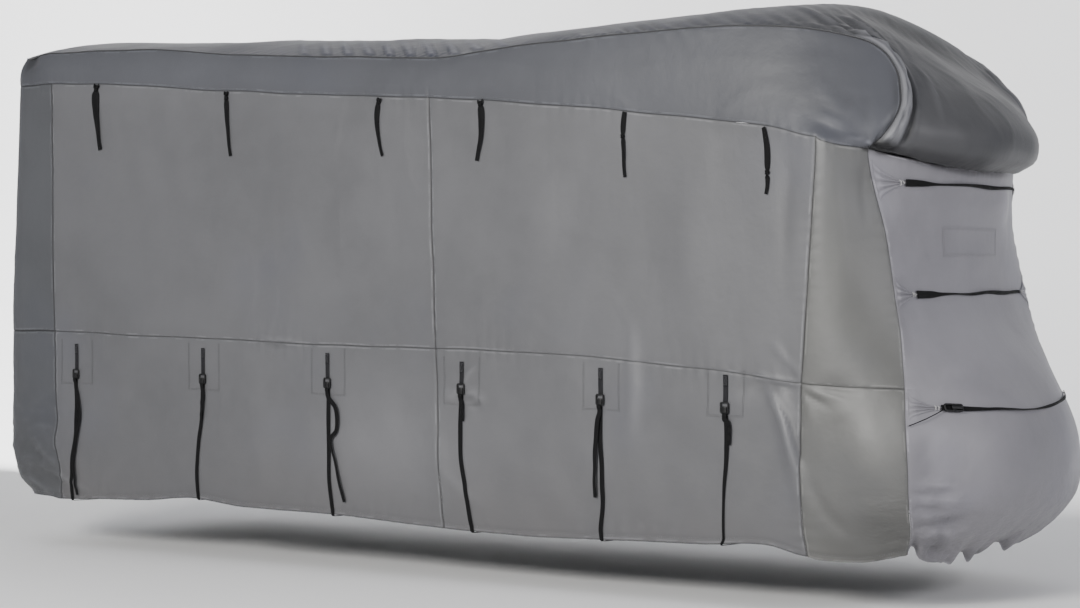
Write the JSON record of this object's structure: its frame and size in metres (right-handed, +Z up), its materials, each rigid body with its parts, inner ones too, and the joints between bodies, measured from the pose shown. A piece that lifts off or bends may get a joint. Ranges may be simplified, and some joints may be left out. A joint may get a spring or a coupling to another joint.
{
  "type": "motorhome cover",
  "caption": "Fitted cloth cover in the shape of a motorhome with an over-cab nose: hood with hanging ties, walls with skirts, belly straps with buckles, strapped front. Vehicle left out.",
  "frame": {"origin": "the support under the cover's roof at about mid-length, 4 mm below the cloth, where the vehicle's roof carries it", "axes": "+X along the vehicle to the nose over the cab, +Z up, -Y to the side with the buckles"},
  "size_m": [6.9372, 2.3245, 3.0375],
  "materials": {
    "hood_cloth": "satin coated cloth",
    "wall_cloth": "satin coated cloth",
    "front_cloth": "satin coated cloth",
    "webbing": "woven webbing, matte",
    "plastic": "moulded, matte"
  },
  "bodies": {
    "root": {"top_panel": "hood_cloth", "band_R": "hood_cloth", "band_L": "hood_cloth", "rear_upper": "wall_cloth", "rear_skirt": "wall_cloth", "side_rear_upper_R": "wall_cloth", "side_rear_upper_L": "wall_cloth", "side_front_upper_R": "wall_cloth", "side_front_upper_L": "wall_cloth", "cab_upper_R": "wall_cloth", "cab_upper_L": "wall_cloth", "skirt_rear_R": "wall_cloth", "skirt_rear_L": "wall_cloth", "skirt_front_R": "wall_cloth", "skirt_front_L": "wall_cloth", "cab_skirt_R": "wall_cloth", "cab_skirt_L": "wall_cloth", "front_panel": "front_cloth", "front_tab_1_R": "front_cloth", "front_tab_1_L": "front_cloth", "front_tab_2_R": "front_cloth", "front_tab_2_L": "front_cloth", "front_tab_3_R": "front_cloth", "front_tab_3_L": "front_cloth", "front_patch": "front_cloth", "tie_1_R": "webbing", "tie_1_L": "webbing", "tie_2_R": "webbing", "tie_2_L": "webbing", "tie_3_R": "webbing", "tie_3_L": "webbing", "tie_4_R": "webbing", "tie_4_L": "webbing", "tie_5_R": "webbing", "tie_5_L": "webbing", "tie_6_R": "webbing", "tie_6_L": "webbing", "belly_strap_1": "webbing", "belly_strap_2": "webbing", "belly_strap_3": "webbing", "belly_strap_4": "webbing", "belly_strap_5": "webbing", "belly_strap_6": "webbing", "strap_head_1": "webbing", "strap_head_2": "webbing", "strap_head_3": "webbing", "strap_head_4": "webbing", "strap_head_5": "webbing", "strap_head_6": "webbing", "front_strap_1": "webbing", "front_strap_2": "webbing", "front_strap_3": "webbing", "buckle_1": "plastic", "buckle_2": "plastic", "buckle_3": "plastic", "buckle_4": "plastic", "buckle_5": "plastic", "buckle_6": "plastic", "front_adjuster": "plastic"}
  },
  "joints": []
}
